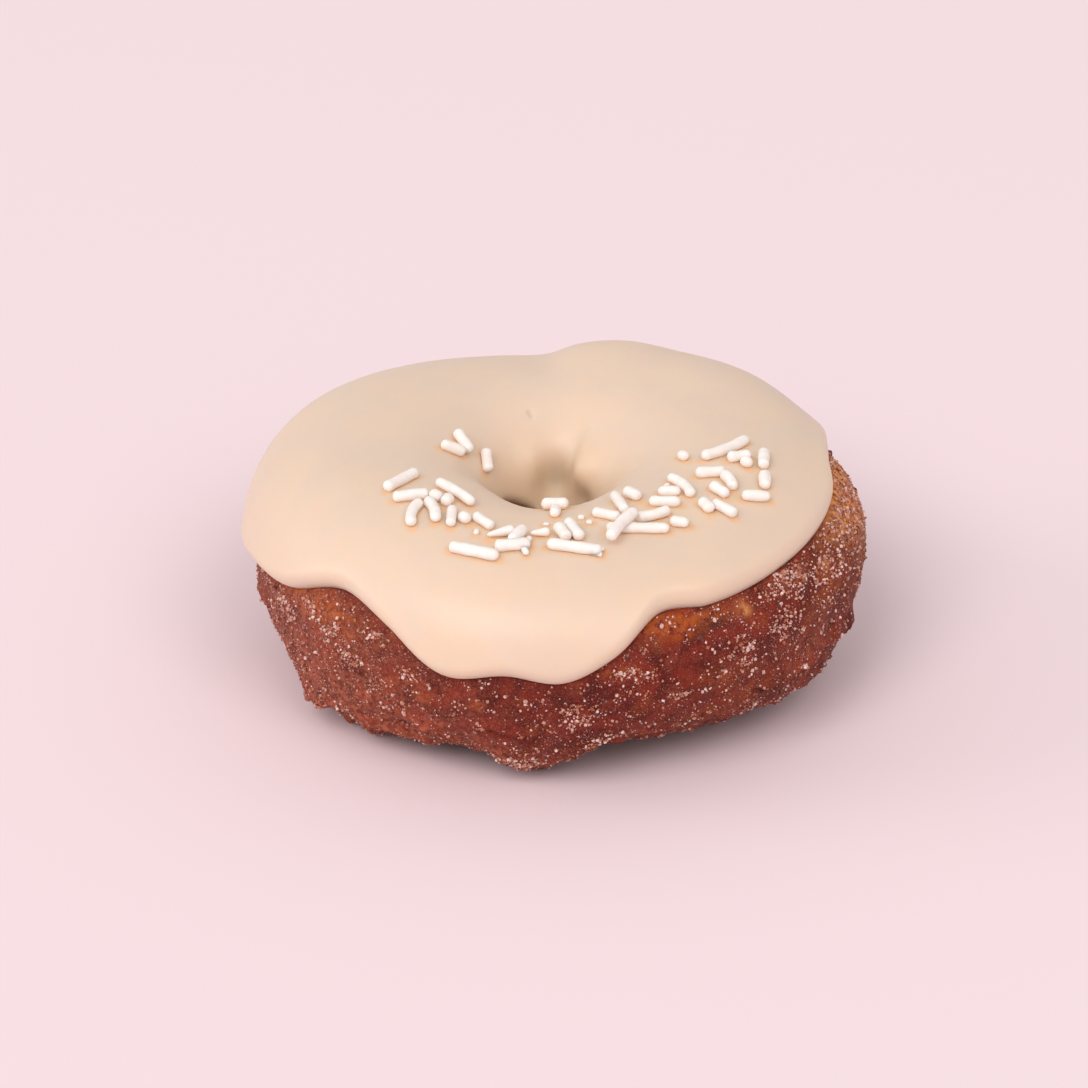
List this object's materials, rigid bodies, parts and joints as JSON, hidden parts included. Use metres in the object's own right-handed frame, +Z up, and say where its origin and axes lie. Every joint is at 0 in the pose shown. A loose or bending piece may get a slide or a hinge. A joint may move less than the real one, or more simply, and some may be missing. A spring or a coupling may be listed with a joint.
{
  "type": "sprinkle frosted doughnut",
  "caption": "Ring doughnut with a browned, sugared crust, a cap of smooth cream icing that hangs down one side in a broad tongue, and white sprinkles round the hole.",
  "frame": {"origin": "on the table, under the middle of the doughnut", "axes": "+Z up; -Y towards the side where the icing hangs lowest; +X to the right as seen from there"},
  "size_m": [0.0934, 0.093, 0.037],
  "materials": {
    "dough": "fried dough, a rough red-brown crust with lighter patches and a coat of sugar",
    "icing": "smooth satin cream icing",
    "sprinkles": "hard white sugar strands, satin",
    "sugar": "white sugar crystals, clear to milky"
  },
  "bodies": {
    "root": {"dough_ring": "dough", "icing_cap": "icing"}
  },
  "joints": []
}
